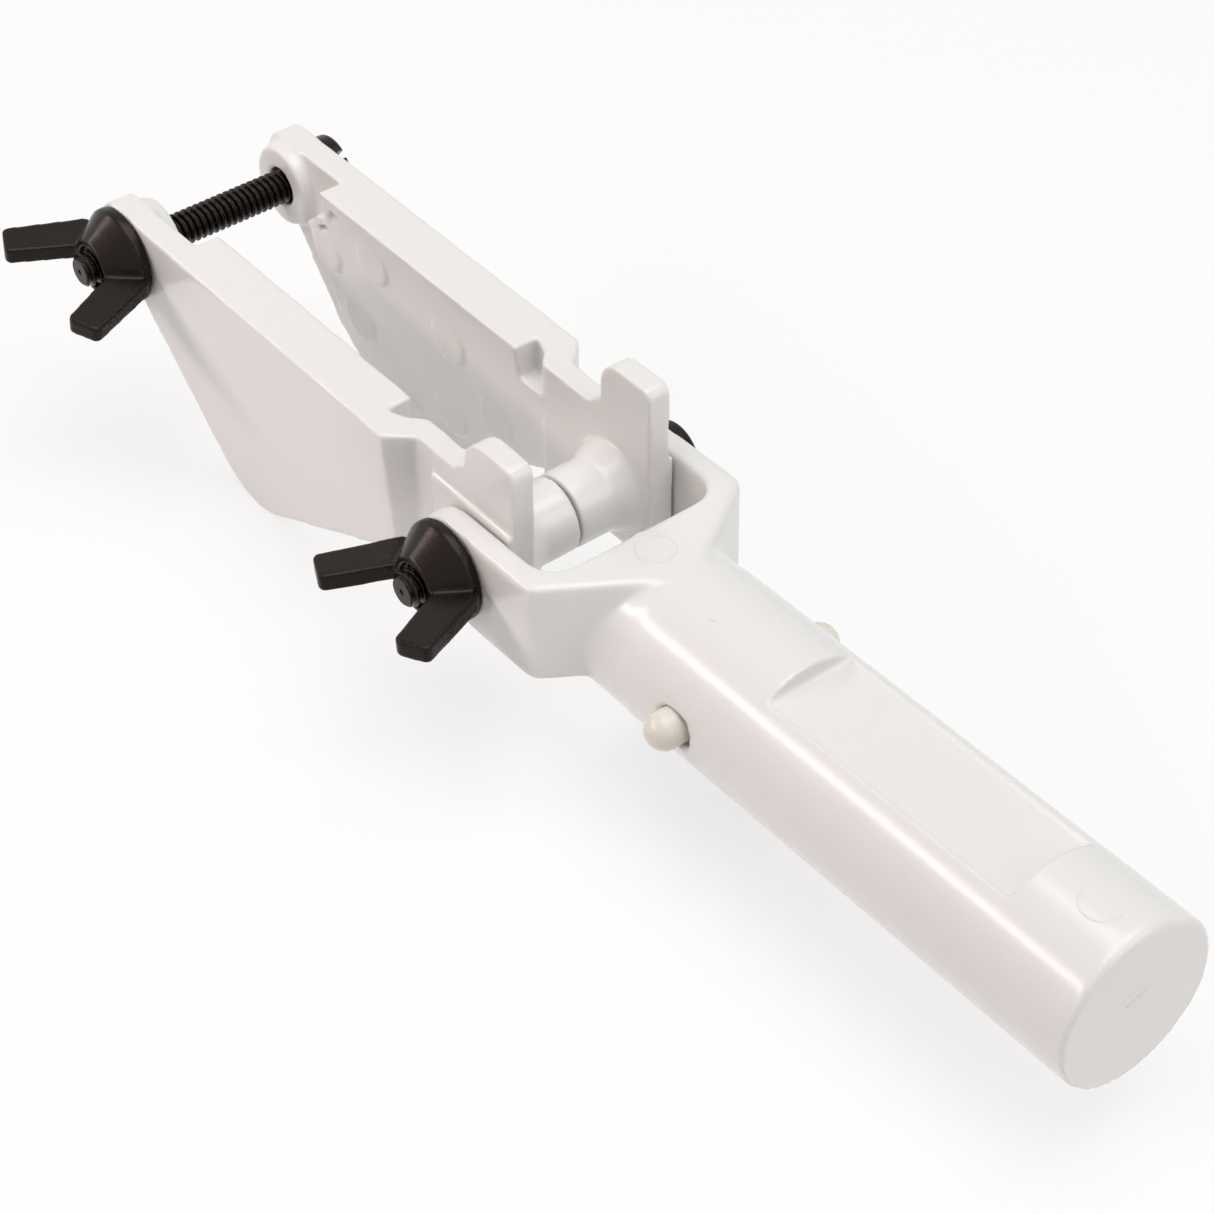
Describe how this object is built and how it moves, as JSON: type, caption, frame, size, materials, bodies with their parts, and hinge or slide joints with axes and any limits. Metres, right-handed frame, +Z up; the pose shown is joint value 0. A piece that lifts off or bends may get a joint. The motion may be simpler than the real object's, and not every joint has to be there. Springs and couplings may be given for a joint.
{
  "type": "pole clamp head",
  "caption": "Pole head with a round snap-in shank, a fork and two pivoting jaws that a wing-nut screw squeezes on a sanding block, pad or brush.",
  "frame": {"origin": "centre of the shank's flat end face", "axes": "+X along the shank towards the jaws, +Y the wing-nut side, +Z up, away from the jaws' deep edge"},
  "size_m": [0.2417, 0.0647, 0.0541],
  "materials": {
    "white_plastic": "injection-moulded, glossy, soft edges",
    "ivory_plastic": "moulded acetal, satin",
    "black_nylon": "moulded nylon, satin sheen",
    "spring_steel": "plain strip"
  },
  "bodies": {
    "fork": {"yoke_shank": "white_plastic", "snap_spring_clip": "spring_steel"},
    "near_jaw_body": {"near_jaw": "white_plastic"},
    "far_jaw_body": {"far_jaw": "white_plastic"},
    "pivot_bolt_body": {"pivot_bolt": "black_nylon"},
    "pivot_nut_body": {"pivot_wing_nut": "black_nylon"},
    "clamp_bolt_body": {"clamp_bolt": "black_nylon"},
    "clamp_nut_body": {"clamp_wing_nut": "black_nylon"},
    "near_button_body": {"near_snap_button": "ivory_plastic"},
    "far_button_body": {"far_snap_button": "ivory_plastic"}
  },
  "joints": [
    {"name": "jaw_tilt", "type": "hinge", "parent": "fork", "child": "near_jaw_body", "pos_m": [0.1289, 0, 0.005], "axis": [0, -1, 0], "range_deg": [-90, 34]},
    {"name": "clamp_bolt_travel", "type": "slide", "parent": "near_jaw_body", "child": "clamp_bolt_body", "axis": [0, 1, 0], "range_m": [-0.00254, 0.00254]},
    {"name": "clamp_nut_spin", "type": "hinge", "parent": "near_jaw_body", "child": "clamp_nut_body", "pos_m": [0.22623, 0.0201, 0.01275], "axis": [0, -1, 0], "range_deg": [-720.5, 720.5]},
    {"name": "far_jaw_swing", "type": "hinge", "parent": "near_jaw_body", "child": "far_jaw_body", "pos_m": [0.1289, -0.0134, 0.005], "axis": [-0.0262, 0, 0.9997], "range_deg": [-1.5, 1.5]},
    {"name": "pivot_bolt_travel", "type": "slide", "parent": "fork", "child": "pivot_bolt_body", "axis": [0, 1, 0], "range_m": [-0.00254, 0]},
    {"name": "pivot_nut_spin", "type": "hinge", "parent": "fork", "child": "pivot_nut_body", "pos_m": [0.1289, 0.0213, 0.005], "axis": [0, -1, 0], "range_deg": [-720.5, 0]},
    {"name": "near_button_press", "type": "slide", "parent": "fork", "child": "near_button_body", "axis": [0, -1, 0], "range_m": [0, 0.0044], "stiffness_N_per_m": 1500, "springref_m": -0.002, "deforming": ["snap_spring_clip"]},
    {"name": "far_button_press", "type": "slide", "parent": "fork", "child": "far_button_body", "axis": [0, 1, 0], "range_m": [0, 0.0044], "stiffness_N_per_m": 1500, "springref_m": -0.002, "deforming": ["snap_spring_clip"]}
  ],
  "couplings": [
    {"joint": "clamp_nut_spin", "follows": "clamp_bolt_travel", "rad_per_m": 4947.4},
    {"joint": "far_jaw_swing", "follows": "clamp_bolt_travel", "rad_per_m": 10.28},
    {"joint": "pivot_nut_spin", "follows": "pivot_bolt_travel", "rad_per_m": 4947.4}
  ]
}
